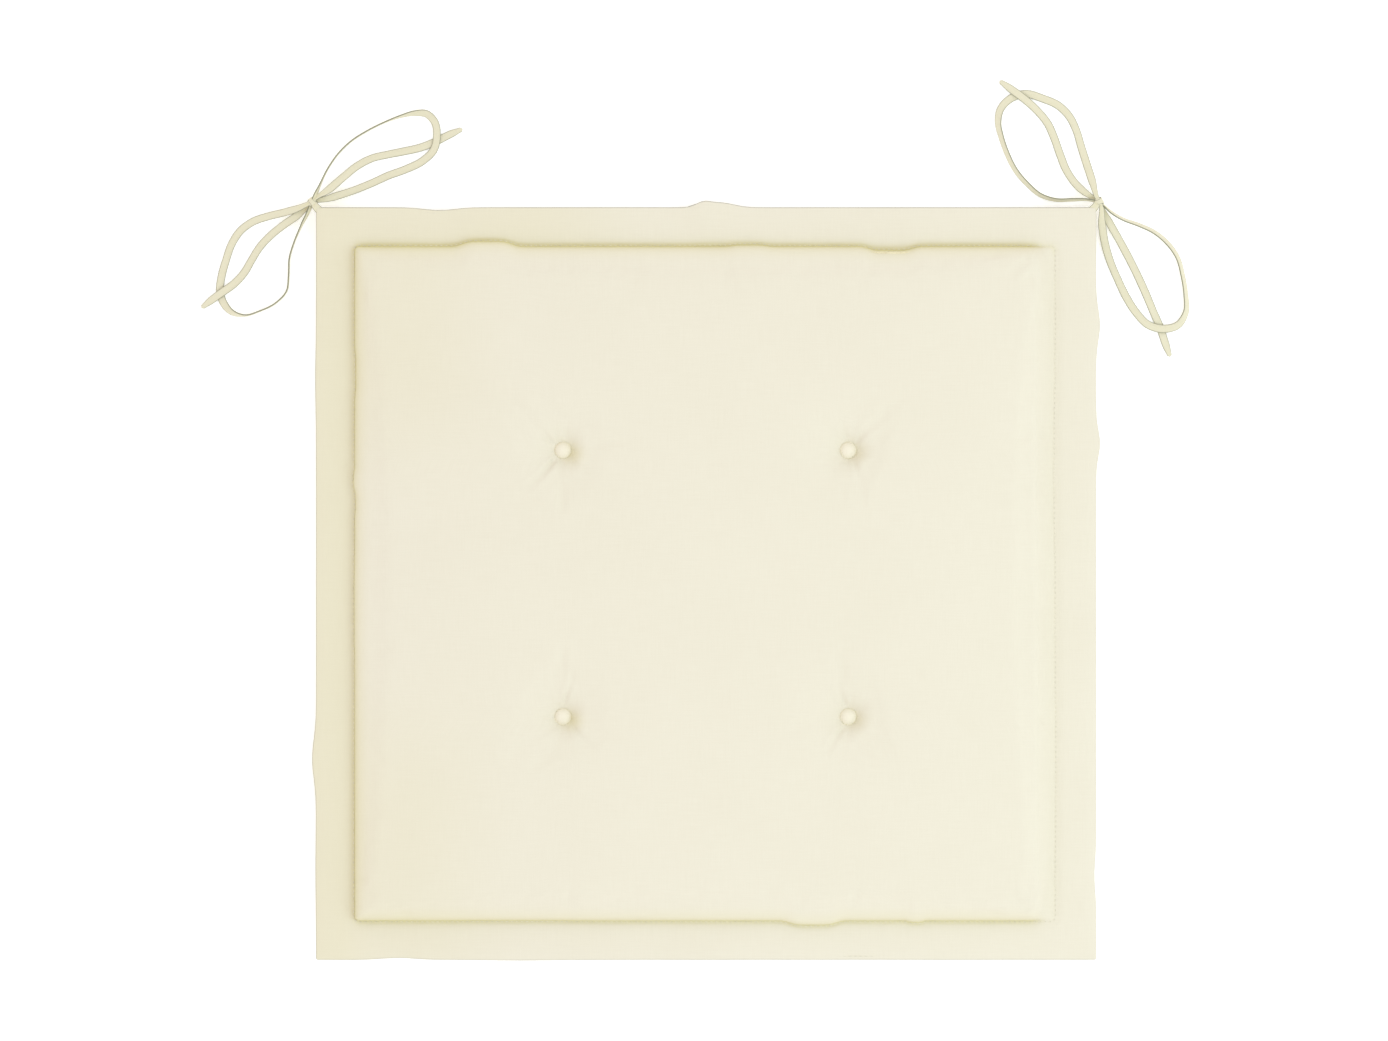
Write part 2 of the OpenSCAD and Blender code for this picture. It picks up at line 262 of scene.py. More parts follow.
def cloth_material(name, light, dark, fold_shade_color, rim_shade_color, thread=0.45):
    """Fine plain weave: two sets of threads, slubs along them, a warm painted shade down in the folds, and a
    darker painted shade along turned edges."""
    material = new_material(name, light, 0.86, 0.25)
    n = Nodes(material)
    uv = n.add("ShaderNodeUVMap", {"uv_map": "cloth"}).outputs["UV"]
    split = n.add("ShaderNodeSeparateXYZ", Vector=uv)
    turn = 2 * math.pi / (thread * MM)
    warp = n.math("SINE", n.math("MULTIPLY", split.outputs["X"], turn))
    weft = n.math("SINE", n.math("MULTIPLY", split.outputs["Y"], turn))
    weave = n.math("MULTIPLY", warp, weft)
    # slubs: streaks that are long along the thread and narrow across it
    along = n.add("ShaderNodeMapping", Vector=uv, Scale=(1400, 60, 1))
    across = n.add("ShaderNodeMapping", Vector=uv, Scale=(60, 1400, 1))
    slub_a = n.add("ShaderNodeTexNoise", Vector=along.outputs[0], Scale=1.0, Detail=2.0)
    slub_b = n.add("ShaderNodeTexNoise", Vector=across.outputs[0], Scale=1.0, Detail=2.0)
    slubs = n.math("ADD", slub_a.outputs[0], slub_b.outputs[0])
    broad = n.add("ShaderNodeTexNoise", Vector=uv, Scale=14.0, Detail=3.0)
    tone = n.math("MULTIPLY_ADD", n.math("SUBTRACT", slubs, 1.0), 0.75)
    tone.node.inputs[2].default_value = 0.35
    tone = n.math("ADD", tone, n.math("MULTIPLY", weave, 0.12))
    tone = n.math("ADD", tone, n.math("MULTIPLY", n.math("SUBTRACT", broad.outputs[0], 0.5), 0.5), True)
    woven = n.mix_color(tone, (*light, 1), (*dark, 1))
    # the fold and rim tones are painted shade: warm shade in folds and grooves, dark shade along turned edges
    fold = n.add("ShaderNodeAttribute", {"attribute_name": "fold"}).outputs["Fac"]
    rim = n.add("ShaderNodeAttribute", {"attribute_name": "rim"}).outputs["Fac"]
    folded = n.mix_color(fold, woven, (*fold_shade_color, 1))
    n.color(rim, folded, (*rim_shade_color, 1))
    height = n.math("ADD", n.math("MULTIPLY", weave, 0.5), n.math("MULTIPLY", slubs, 0.8))
    n.bump(0.5, 0.00006, height)
    n.roughness(broad.outputs[0], 0.80, 0.92)
    return material


def thread_material(name, color, twist=0.9):
    """Twisted yarn: fine slanting ridges on object coordinates."""
    material = new_material(name, color, 0.7, 0.2)
    n = Nodes(material)
    wave = n.add("ShaderNodeTexWave", {"bands_direction": "DIAGONAL"}, Vector=n.place(),
        Scale=1 / (twist * MM) / 6, Distortion=1.5, Detail=1.0)
    # painted shade: the troughs between the twist's ridges are coloured darker
    dark = tuple(c * 0.86 for c in color)
    n.color(wave.outputs["Fac"], (*dark, 1), (*color, 1))
    n.bump(0.5, 0.00008, wave.outputs["Fac"])
    return material


def foam_material():
    """Open-cell foam: pores of two sizes."""
    light, dark = (0.86, 0.80, 0.55), (0.66, 0.58, 0.34)
    material = new_material("foam", light, 0.9)
    n = Nodes(material)
    place = n.place()
    cells = n.add("ShaderNodeTexVoronoi", Vector=place, Scale=900.0)
    big = n.add("ShaderNodeTexVoronoi", Vector=place, Scale=320.0)
    depth = n.math("ADD", cells.outputs["Distance"], n.math("MULTIPLY", big.outputs["Distance"], 0.6))
    # painted shade: the pores are coloured darker the deeper they sink
    n.color(depth, (*dark, 1), (*light, 1))
    n.bump(0.7, 0.0004, depth)
    return material


def wadding_material():
    """Fluffy polyester: tangled stretched fibres."""
    light, dark = (0.90, 0.90, 0.89), (0.74, 0.74, 0.74)
    material = new_material("wadding", light, 0.95, 0.4)
    n = Nodes(material)
    turned = n.add("ShaderNodeMapping", Vector=n.place(), Rotation=(0.3, 0.2, 0.7), Scale=(300, 40, 200))
    fibre = n.add("ShaderNodeTexNoise", Vector=turned.outputs[0], Scale=1.0, Detail=5.0, Distortion=1.2)
    # painted shade: the low places between the fibres are coloured darker
    n.color(fibre.outputs[0], (*dark, 1), (*light, 1))
    n.bump(0.6, 0.0006, fibre.outputs[0])
    return material


def metal_material():
    """Pressed aluminium with fine drawing marks."""
    material = new_material("button_metal", (0.62, 0.62, 0.64), 0.35, metallic=1.0)
    n = Nodes(material)
    marks = n.add("ShaderNodeTexNoise", Vector=n.place(), Scale=2500.0, Detail=2.0)
    n.roughness(marks.outputs[0], 0.28, 0.5)
    n.bump(0.2, 0.00005, marks.outputs[0])
    return material


CREAM = (0.775, 0.735, 0.615)
CREAM_DARK = (0.735, 0.69, 0.565)
# the next two colours are painted shade: a warm one for folds and grooves, and a dark one for the turned edge
CREAM_FOLD_SHADE = (0.69, 0.64, 0.35)
CREAM_RIM_SHADE = (0.38, 0.38, 0.32)
COVER = cloth_material("cover_cloth", CREAM, CREAM_DARK, CREAM_FOLD_SHADE, CREAM_RIM_SHADE)
# painted light: a lighter copy of the panels' cloth, only so that the buttons come out as bright down in
# their shaded hollows
BUTTON_CLOTH_PAINTED_LIGHT = cloth_material("button_cloth_painted_light", light=(0.84, 0.79, 0.655), dark=(0.80, 0.745, 0.605),
    fold_shade_color=CREAM_FOLD_SHADE, rim_shade_color=CREAM_RIM_SHADE)
# the tape's fold and rim colours are painted shade, for its hollows and its edges
TAPE = cloth_material("tie_tape", light=(0.75, 0.715, 0.55), dark=(0.69, 0.65, 0.48),
    fold_shade_color=(0.70, 0.64, 0.36), rim_shade_color=(0.24, 0.24, 0.16), thread=0.4)
THREAD = thread_material("thread", (0.78, 0.74, 0.61))
TWINE = thread_material("twine", (0.74, 0.70, 0.60), twist=1.4)
FOAM = foam_material()
WADDING = wadding_material()
METAL = metal_material()

# ---------------------------------------------------------------- the cover's shape

# Bumps in the border's edge and in the stitched line: middle along the side, half width, and how far out
EDGE_BUMPS = {
    "rear": [(-171, 14, -1.8), (-1.5, 6.5, 2.9), (10, 11.5, 3.0)],
    "front": [(-197, 14, -1.2), (-120, 25, 0.4)],
    "left": [(-113, 18, 2.5), (130, 22, 0.5), (-185, 30, 0.4)],
    "right": [(90, 12, 2.4), (166, 14, 2.4), (-188, 13, -1.1)]}
STITCH_BUMPS = {
    "rear": [(-140.5, 17, 3.4), (119, 15, -2.6), (28, 12, 1.0)],
    "front": [(69, 16, 2.8), (135, 5, 1.0), (-120, 40, -0.2)],
    "left": [(135, 14, -0.7), (-15, 30, 0.3), (66, 6, 0.9), (52, 7, -0.5)],
    "right": [(75, 45, -0.8), (-120, 50, 0.4)]}
# How far out the whole edge and the whole stitched line lie on each side, from their places in the CAD model
EDGE_SHIFT = {"rear": 0.5, "front": 0.8, "left": 0.6, "right": 1.4}
STITCH_SHIFT = {"rear": -1.2, "front": -0.8, "left": 1.3, "right": 0.0}
STITCH_FADE = 45                    # how far in over the stuffed middle the stitched line's wander is felt


def bumps(table, x, power=2):
    """Bumps along an edge: rounded ones for power 2, and flat-topped ones for a higher power."""
    return sum(out * np.exp(-np.abs((x - middle) / width) ** power) for middle, width, out in table)


def wander(side, along, across, foot, edge):
    """How far outwards a point lies from its ideal place: by the edge's bumps at the edge, by the stitched
    line's at the foot of the stuffed middle, and less and less further in."""
    out = np.clip((across - foot) / (edge - foot), 0, 1)
    fade = smooth((across - foot + STITCH_FADE) / STITCH_FADE)
    line = bumps(STITCH_BUMPS[side], along, 5) + STITCH_SHIFT[side]
    return fade * (out * (bumps(EDGE_BUMPS[side], along) + EDGE_SHIFT[side]) + (1 - out) * line)


def warp(x, y):
    """Where a point of the ideal flat outline lies after sewing: the border's edge and the stitched line
    wander a little, and the corners of the border are rounded."""
    x, y = np.asarray(x, float), np.asarray(y, float)
    qx = np.clip((np.abs(x) - EDGE_X + BORDER_CORNER) / BORDER_CORNER, 0, None)
    qy = np.clip((np.abs(y) - EDGE_Y + BORDER_CORNER) / BORDER_CORNER, 0, None)
    reach, length = np.maximum(qx, qy), np.hypot(qx, qy)
    pull = np.where((qx > 0) & (qy > 0), reach / np.maximum(length, 1e-9), 1)
    wx = x - np.sign(x) * qx * (1 - pull) * BORDER_CORNER
    wy = y - np.sign(y) * qy * (1 - pull) * BORDER_CORNER
    wy = wy + wander("rear", x, y, FOOT_Y, EDGE_Y) - wander("front", x, -y, FOOT_Y, EDGE_Y)
    wx = wx - wander("left", y, -x, FOOT_X, EDGE_X) + wander("right", y, x, FOOT_X, EDGE_X)
    return wx, wy


def stations(edge, foot, shoulder, tuft, fine, coarse):
    """Grid lines across the cover: dense on its walls, at its edge and round the tufts."""
    half = [0.0]
    while half[-1] < foot - shoulder - coarse:
        away = abs(half[-1] - tuft)
        half.append(half[-1] + (fine * 0.6 if away < 10 else fine if away < 21 else coarse))
    half += [foot - shoulder * (1 - math.cos(math.radians(a))) for a in range(90, -1, -10)]
    border = edge - foot
    half += [foot + out for out in (0.35, 0.7, 1.0, 1.3, 1.7, 2.3, 3.2, 4.6)]
    half += [foot + border * part for part in (0.27, 0.36, 0.46, 0.56, 0.66, 0.76, 0.85, 0.92)]
    half += [edge - left for left in (1.0, 0.6, 0.3, 0.1, 0.0)]
    return np.array([-h for h in half[:0:-1]] + half)


# Creases that run out from each top button: direction in degrees, reach, width and depth
CREASES = {
    "rear_left": [(226, 46, 2.6, 1.5), (140, 30, 2.6, 0.9), (318, 28, 2.8, 0.8), (268, 20, 2.2, 0.8),
        (75, 18, 2.2, 0.5)],
    "rear_right": [(44, 28, 2.6, 1.1), (100, 20, 2.4, 0.6), (200, 18, 2.4, 0.4), (290, 24, 2.2, 0.7)],
    "front_left": [(76, 34, 2.0, 1.1), (317, 36, 2.4, 1.0), (215, 24, 2.8, 0.6), (170, 18, 2.2, 0.4)],
    "front_right": [(241, 34, 2.4, 1.0), (106, 24, 2.2, 0.9), (40, 18, 2.2, 0.4), (318, 20, 2.4, 0.5)]}


def creases(name, dx, dy):
    """Depth of the creases round one button."""
    depth = np.zeros_like(dx)
    for angle, reach, width, deep in CREASES[name]:
        a = math.radians(angle)
        along = dx * math.cos(a) + dy * math.sin(a)
        side = -dx * math.sin(a) + dy * math.cos(a)
        side = side - 1.2 * np.sin(along / 11 + angle)
        spread = width * (0.5 + 0.5 * np.clip(along / reach, 0, 2))
        strength = smooth((along - PIT_FLOOR_R) / 4) * (1 - smooth((along - PIT_FLOOR_R) / reach))
        s = side / spread
        depth += deep * strength * (np.exp(-s * s) - 0.45 * np.exp(-((np.abs(s) - 1.9) ** 2)))
    return depth


def leaning(dx, dy):
    """1 on the side that a button leans towards, and 0 on the side where the cloth comes up to its rim."""
    return 0.5 + 0.5 * np.cos(np.arctan2(dy, dx) - LEAN)


def pits(x, y, depth, mouth, leans):
    """How far the tufts pull the cloth in. On top the buttons lean, and creases run out from them."""
    pulled = np.zeros_like(x)
    for name, (sx, sy) in TUFTS.items():
        dx, dy = x - sx * TUFT_X, y - sy * TUFT_Y
        r, turn = np.hypot(dx, dy), np.arctan2(dy, dx)
        lobes = 1 + 0.08 * np.sin(3 * turn + sx) + 0.06 * np.sin(5 * turn + 2 * sy)
        deep = depth
        if leans:
            lobes = lobes + 0.28 - 0.62 * leaning(dx, dy)
            deep = depth * (0.88 + 0.12 * leaning(dx, dy))
            pulled += creases(name, dx, dy)
        t = np.clip((r - PIT_FLOOR_R) / ((mouth - PIT_FLOOR_R) * lobes), 0, 1)
        pulled += deep * (1 - t) ** 2.1
        pulled += 0.8 * np.exp(-((r / 34) ** 2)) * smooth((r - PIT_FLOOR_R) / 8)
        pulled += 0.12 * np.cos(13 * turn + sx * 2 + sy) * bell(r, PIT_FLOOR_R + 3.5, 3.0)
    return pulled


def border_wave(x, y):
    """Lift of the flat border: it ripples gently and settles a little towards its edge."""
    d = inside(x, y)
    out = np.clip(-d / (EDGE_X - FOOT_X), 0, 1)
    ripple = wobble_grid(x, y, 0, 62) * 1.5 - 0.5
    over = {"rear": (x, y > FOOT_Y), "front": (x, y < -FOOT_Y),
            "right": (y, x > FOOT_X), "left": (y, x < -FOOT_X)}
    for side, (along, there) in over.items():
        ripple += 0.5 * bumps(EDGE_BUMPS[side], along) * there
    corner = np.hypot(np.abs(x) - EDGE_X, y - EDGE_Y)
    return out * ripple * smooth((corner - 12) / 45)


def puckers(x, y):
    """Small gathers that the stitched line makes on both of its sides."""
    d = inside(x, y) + STITCH_OUT
    along = np.where(np.abs(x) / FOOT_X > np.abs(y) / FOOT_Y, y, x)
    beat = wobble_grid(along, d * 0.35, 40, 7.0, 1)
    return 0.42 * beat * np.exp(-np.abs(d) / 7.5) * smooth(np.abs(d) / 1.5)


def easy_side(x):
    """0 over most of the pad, and 1 along the right side, where the stuffing meets the border more gently."""
    return smooth((x - FOOT_X + 16) / 12)


def cover_height(x, y, up):
    """Height of the cover's outer face over the ideal outline, above (up = 1) or below (up = -1) the seam."""
    d = inside(x, y)
    edge = np.minimum(EDGE_X - np.abs(x), EDGE_Y - np.abs(y))
    in_x, in_y = np.maximum(FOOT_X - np.abs(x), 0.01), np.maximum(FOOT_Y - np.abs(y), 0.01)
    shoulder = SHOULDER_TOP + SHOULDER_EASE * easy_side(x) if up > 0 else SHOULDER_BOTTOM
    rise = (TOP_Z - SEAM_Z if up > 0 else SEAM_Z) - CLOTH
    edge_rise = rise * EDGE_RISE if up > 0 else rise
    t = np.clip(np.minimum(d, (in_x ** -2.2 + in_y ** -2.2) ** (-1 / 2.2)) / shoulder, 0, 1)
    body = (1 - (1 - t) ** SHOULDER_POWER) ** (1 / SHOULDER_POWER)
    body = edge_rise * (body + (smooth(t) - body) * 0.95 * easy_side(x) * (up > 0))
    roll = CLOTH * np.sqrt(np.clip(1 - (1 - np.clip(edge / CLOTH, 0, 1)) ** 2, 0, 1))
    groove = (GROOVE - 0.35 * smooth((-x - FOOT_X + 8) / 8) - 0.45 * easy_side(x)) * bell(d, -STITCH_OUT, 0.9)
    loft = BORDER_LOFT * smooth((-d - 1.5) / 4) * smooth(edge / 5)
    z = np.where(d > 0, CLOTH + body - groove, np.minimum(CLOTH + loft - groove, roll + loft))
    if up > 0:
        lift_x = 1 - (1 - np.clip(in_x / CROWN_REACH, 0, 1)) ** 2
        lift_y = 1 - (1 - np.clip(in_y / CROWN_REACH, 0, 1)) ** 2
        crown = (rise - edge_rise) * lift_x * lift_y * (d > 0)
        uneven = 0.45 * wobble_grid(x, y, 9, 75) * smooth(d / 30)
        pulled = pits(x, y, TOP_Z - TOP_SEAT_Z - 0.4, PIT_TOP_R, leans=True)
        z = SEAM_Z + z + crown + uneven - pulled + puckers(x, y) + border_wave(x, y)
        under_button = sum(1 - smooth((np.hypot(x - sx * TUFT_X, y - sy * TUFT_Y) - BUTTON_R + 0.7) / 1.2)
            for sx, sy in TUFTS.values())
        return z * (1 - under_button) + (TOP_SEAT_Z - 0.35) * under_button
    flat = smooth(d / (shoulder + 6))
    pulled = pits(x, y, BOTTOM_SEAT_Z, PIT_BOTTOM_R, leans=False)
    z = z - pulled * flat + puckers(x, y) * (1 - flat)
    return np.maximum(SEAM_Z - z + border_wave(x, y), 0.02)


def panel_grid(up, fine, coarse):
    """A panel's grid lines on the ideal flat outline, and the sewn cover's points over them."""
    shoulder = SHOULDER_TOP if up > 0 else SHOULDER_BOTTOM
    xs = stations(EDGE_X, FOOT_X, shoulder, TUFT_X, fine, coarse)
    ys = stations(EDGE_Y, FOOT_Y, shoulder, TUFT_Y, fine, coarse)
    x, y = np.meshgrid(xs, ys, indexing="ij")
    z = cover_height(x, y, up)
    wx, wy = warp(x, y)
    return xs, ys, np.stack([wx, wy, z], axis=-1)


def grid_normals(points):
    return unit(np.cross(np.gradient(points, axis=0), np.gradient(points, axis=1)))


def grid_faces(nx, ny, flip=False, start=0):
    i, j = np.meshgrid(np.arange(nx - 1), np.arange(ny - 1), indexing="ij")
    a = (start + i * ny + j).ravel()
    quads = np.stack([a, a + ny, a + ny + 1, a + 1], axis=1)
    return quads[:, ::-1] if flip else quads


def rim_faces(nx, ny, start, flip=False):
    """Faces that join the borders of two stacked grids of the same size."""
    ring = [(i, 0) for i in range(nx - 1)] + [(nx - 1, j) for j in range(ny - 1)]
    ring += [(i, ny - 1) for i in range(nx - 1, 0, -1)] + [(0, j) for j in range(ny - 1, 0, -1)]
    low = [i * ny + j for i, j in ring]
    faces = []
    for k, a in enumerate(low):
        b = low[(k + 1) % len(low)]
        face = (a, start + a, start + b, b)
        faces.append(face[::-1] if flip else face)
    return faces


def shell_between(name, outer, inner, body, slot, material, up):
    """A closed piece between two grids of points."""
    nx, ny = outer.shape[:2]
    count = nx * ny
    verts = np.concatenate([outer.reshape(-1, 3), inner.reshape(-1, 3)])
    faces = list(grid_faces(nx, ny, up < 0)) + list(grid_faces(nx, ny, up > 0, count))
    faces += rim_faces(nx, ny, count, up < 0)
    return make_mesh(name, verts, faces, body, slot, material)


def painted_left_shade(x, y):
    """Painted shade: a faint yellow darkening towards the left edge and the rear left corner, the sides
    turned from the key light.
    """
    rear = smooth((y - FOOT_Y) / 6)
    spread = 14 * smooth((np.abs(y) - FOOT_Y) / 6)
    left = smooth((-x - FOOT_X + spread) / (6 + 1.5 * spread))
    along_rear = 0.17 * smooth((-x - 30) / 90)
    elsewhere = 0.13 * smooth((-x - 110) / 90) * smooth((np.abs(y) - 40) / 110)
    return 0.25 * left + (1 - left) * (rear * along_rear + (1 - rear) * elsewhere)


def fold_tone(x, y):
    """A painted tone that stands in for warm shading: 0 on open cloth, and towards 1 in the stitched groove,
    on the wall inside it and beside the buttons."""
    d = inside(x, y)
    rear, left = smooth((y - FOOT_Y + 8) / 8), smooth((-x - FOOT_X + 8) / 8)
    easy = easy_side(x)
    groove = (0.58 + 0.22 * rear - 0.16 * left - 0.56 * easy) * (1 - 0.45 * smooth(d / 1.5))
    wall = (0.2 + 0.05 * left - 0.16 * easy) * (d > -1)
    # the last term adds painted shade towards the left edge and the rear left corner
    tone = groove * bell(d, -0.25, 1.6 + 0.4 * np.maximum(rear, left)) + wall * bell(d, 1.0, 4.5) + painted_left_shade(x, y)
    for sx, sy in TUFTS.values():
        dx, dy = x - sx * TUFT_X, y - sy * TUFT_Y
        hollow = np.hypot(dx - 6.5 * math.cos(LEAN), dy - 6.5 * math.sin(LEAN))
        tone = tone + (0.32 - 0.12 * sx) * bell(hollow, 0, 5.8)
    return np.clip(tone, 0, 1)


def rim_tone(x, y):
    """A painted tone that stands in for shade on the cover's thin turned edge, strongest at the rear."""
    edge = np.minimum(EDGE_X - np.abs(x), EDGE_Y - np.abs(y))
    rear, left, right = EDGE_Y - y < 1, EDGE_X + x < 1, EDGE_X - x < 1
    share = np.where(rear, 0.9, np.where(left, 0.7, np.where(right, 0.25, 0.6)))
    return share * smooth(1 - edge / 0.8)


def arc_lengths(points):
    """Distance along the cloth from the middle of the grid, each way."""
    nx, ny = points.shape[:2]
    du = np.linalg.norm(np.diff(points, axis=0), axis=-1)
    dv = np.linalg.norm(np.diff(points, axis=1), axis=-1)
    u = np.concatenate([np.zeros((1, ny)), np.cumsum(du, axis=0)])
    v = np.concatenate([np.zeros((nx, 1)), np.cumsum(dv, axis=1)], axis=1)
    return u - u[nx // 2], v - v[:, ny // 2:ny // 2 + 1]


def cubic_weights(at, knots):
    """Matrix that turns values at evenly spaced knots into a smooth curve's values at other places."""
    gap = knots[1] - knots[0]
    t = (at - knots[0]) / gap
    i = np.floor(t).astype(int)
    f = t - i
    parts = [-f / 2 + f ** 2 - f ** 3 / 2, 1 - 2.5 * f ** 2 + 1.5 * f ** 3,
        f / 2 + 2 * f ** 2 - 1.5 * f ** 3, -f ** 2 / 2 + f ** 3 / 2]
    weights = np.zeros((len(at), len(knots)))
    for k, part in enumerate(parts):
        column = i + k - 1
        ok = (column >= 0) & (column < len(knots))
        weights[np.arange(len(at))[ok], column[ok]] = part[ok]
    return weights


SWELL_CAP = 1.8                     # the most that the stuffing may push a point of the cover
SWELL_FRAMES = 20
SWELL_GRID = (105, 102)
SWELL_MARGIN = 4                    # how far the simulated sheet reaches past the foot of the stuffed middle


def swell(xs, ys):
    """How the stuffing pushes the top panel out: a cloth simulation of the panel over the stuffed middle,
    held at the stitched line and under the buttons, laid over the panel's grid. Most points reach the cap, so
    it is close to an even lift."""
    reach_x, reach_y = FOOT_X + SWELL_MARGIN, FOOT_Y + SWELL_MARGIN
    cx, cy = np.linspace(-reach_x, reach_x, SWELL_GRID[0]), np.linspace(-reach_y, reach_y, SWELL_GRID[1])
    x, y = np.meshgrid(cx, cy, indexing="ij")
    start = np.stack([x, y, cover_height(x, y, 1)], axis=-1)
    mesh = bpy.data.meshes.new("swell")
    quads = [tuple(f) for f in grid_faces(*x.shape)]
    mesh.from_pydata([tuple(v) for v in start.reshape(-1, 3) * MM], [], quads)
    mesh.update()
    sheet = add_object("swell", mesh)
    held = inside(x, y) < 1.5
    for sx, sy in TUFTS.values():
        held |= np.hypot(x - sx * TUFT_X, y - sy * TUFT_Y) < PIT_FLOOR_R + 1.5
    group = sheet.vertex_groups.new(name="held")
    group.add([int(k) for k in np.flatnonzero(held.ravel())], 1.0, "REPLACE")
    cloth = sheet.modifiers.new("cloth", "CLOTH")
    settings = {
        "quality": 6, "mass": 0.15, "tension_stiffness": 20, "compression_stiffness": 8, "shear_stiffness": 4,
        "bending_stiffness": 0.3, "tension_damping": 12, "compression_damping": 12, "air_damping": 4,
        "vertex_group_mass": "held", "use_pressure": True, "uniform_pressure_force": 4, "shrink_min": -0.0035}
    for key, value in settings.items():
        setattr(cloth.settings, key, value)
    cloth.settings.effector_weights.gravity = 0
    cloth.collision_settings.use_collision = False
    cloth.point_cache.frame_start, cloth.point_cache.frame_end = 1, SWELL_FRAMES
    for f in range(1, SWELL_FRAMES + 1):
        bpy.context.scene.frame_set(f)
    shown = sheet.evaluated_get(bpy.context.evaluated_depsgraph_get())
    moved = np.empty(len(shown.data.vertices) * 3)
    shown.data.vertices.foreach_get("co", moved)
    push = moved.reshape(start.shape) / MM - start
    bpy.data.objects.remove(sheet)
    bpy.context.scene.frame_set(1)
    far = np.linalg.norm(push, axis=-1, keepdims=True)
    push = push * np.minimum(1, SWELL_CAP / np.maximum(far, 1e-9))
    wx, wy = cubic_weights(xs, cx), cubic_weights(ys, cy)
    return np.einsum("ik,klc,jl->ijc", wx, push, wy)


def make_panel(name, up, fine, coarse):
    """One cover panel, with its grid of outer points for what lies under it."""
    xs, ys, outer = panel_grid(up, fine, coarse)
    if up > 0:
        outer = outer + swell(xs, ys)
    inner = outer - grid_normals(outer) * PANEL_T * up
    piece = shell_between(name, outer, inner, "pad", "cover_cloth", COVER, up)
    x, y = np.meshgrid(xs, ys, indexing="ij")
    for kind, tone in (("fold", fold_tone(x, y)), ("rim", rim_tone(x, y))):
        point_value(piece, kind, np.concatenate([tone.ravel(), tone.ravel()]))
    u, v = arc_lengths(outer)
    border = inside(x, y) < 0
    u, v = np.where(border, outer[..., 0], u), np.where(border, outer[..., 1], v)
    cloth_map(piece, np.concatenate([u.ravel(), u.ravel()]), np.concatenate([v.ravel(), v.ravel()]))
    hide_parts(f"{name}_panel")
    return outer


top_points = make_panel("cover_top", 1, 1.6, 2.6)
low_points = make_panel("cover_bottom", -1, 2.2, 6.0)

# ---------------------------------------------------------------- buttons


def turned(profile, count, wave):
    """A closed form turned about +Z, from (radius, height) pairs with the first and last on the axis; wave
    gives how much each ring's radius grows with the angle."""
    turn = circle(count)
    verts = [np.array([[0, 0, profile[0][1]]])]
    for k, (r, z) in enumerate(profile[1:-1]):
        rr = r * (1 + wave(turn, k))
        verts.append(np.stack([rr * np.cos(turn), rr * np.sin(turn), np.full(count, z)], axis=1))
    verts.append(np.array([[0, 0, profile[-1][1]]]))
    rings = len(profile) - 2
    faces = []
    for j in range(count):
        nxt = (j + 1) % count
        faces.append((0, 1 + j, 1 + nxt))
        for k in range(rings - 1):
            a, b = 1 + k * count, 1 + (k + 1) * count
            faces.append((a + j, b + j, b + nxt, a + nxt))
        last = 1 + (rings - 1) * count
        faces.append((last + j, 1 + rings * count, last + nxt))
    return np.concatenate(verts), faces


def make_button(tuft, place, seat_z, up):
    """A cloth-covered button: a domed top, small pleats round its rim, and a tucked underside."""
    sx, sy = TUFTS[tuft]
    tuck = 0.45
    profile = [(0, BUTTON_H)]
    for part in (0.14, 0.28, 0.42, 0.55, 0.66, 0.76, 0.85, 0.92, 0.97):
        profile.append((BUTTON_R * part, BUTTON_H * (1 - part ** 2.4) * 0.92 + 0.08 * BUTTON_H))
    profile += [(BUTTON_R, 0.0), (BUTTON_R - 0.15, -tuck * 0.7), (BUTTON_R - 0.9, -tuck)]
    profile += [(BUTTON_R - 1.4, 0.0), (0, 0.15)]

    def pleats(turn, k):
        depth = 0.015 * smooth((k - 4) / 5)
        return depth * (np.cos(17 * turn + sx) + 0.5 * np.cos(29 * turn + 3 * sy))

    verts, faces = turned(profile, 72, pleats)
    verts[:, 2] += 0.025 * sx * verts[:, 0] - 0.03 * sy * verts[:, 1]
    verts[:, 2] *= up
    verts += np.array([sx * TUFT_X, sy * TUFT_Y, seat_z])
    if up > 0:
        faces = [f[::-1] for f in faces]
    piece = make_mesh(f"{tuft}_{place}_button", verts, faces, "pad", "cover_cloth", BUTTON_CLOTH_PAINTED_LIGHT)
    r = np.hypot(verts[:, 0] - sx * TUFT_X, verts[:, 1] - sy * TUFT_Y)
    cloth_map(piece, verts[:, 0] * 1.1, verts[:, 1] * 1.1)
    # painted shade: a warm tone round the button's rim and under its tuck
    point_value(piece, "fold", 0.15 * smooth((r - BUTTON_R + 1.0) / 1.0))
    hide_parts(f"{tuft}_{place}_button_cover")


for tuft in TUFTS:
    make_button(tuft, "top", TOP_SEAT_Z, 1)
    make_button(tuft, "bottom", BOTTOM_SEAT_Z, -1)

# ---------------------------------------------------------------- stitches


def stitch_row(centres, along, up, length, radius, sink):
    """Short separate stitches: each arches over the cloth and dives in at its two ends."""
    stations_along = np.array([-1, -0.65, 0, 0.65, 1])
    thick = np.array([0.5, 0.9, 1.0, 0.9, 0.5]) * radius
    sides = 6
    turn = circle(sides)
    across = unit(np.cross(along, up))
    rise = np.cross(across, along)
    ring = []
    for s, r in zip(stations_along, thick):
        middle = centres + along * s * length / 2 - rise * sink * s ** 4
        for a in turn:
            ring.append(middle + r * (math.cos(a) * across + math.sin(a) * rise))
    verts = np.stack(ring, axis=1)
    faces = []
    for k in range(len(centres)):
        faces += tube_faces(len(stations_along), sides, k * len(ring))
    return verts.reshape(-1, 3), faces


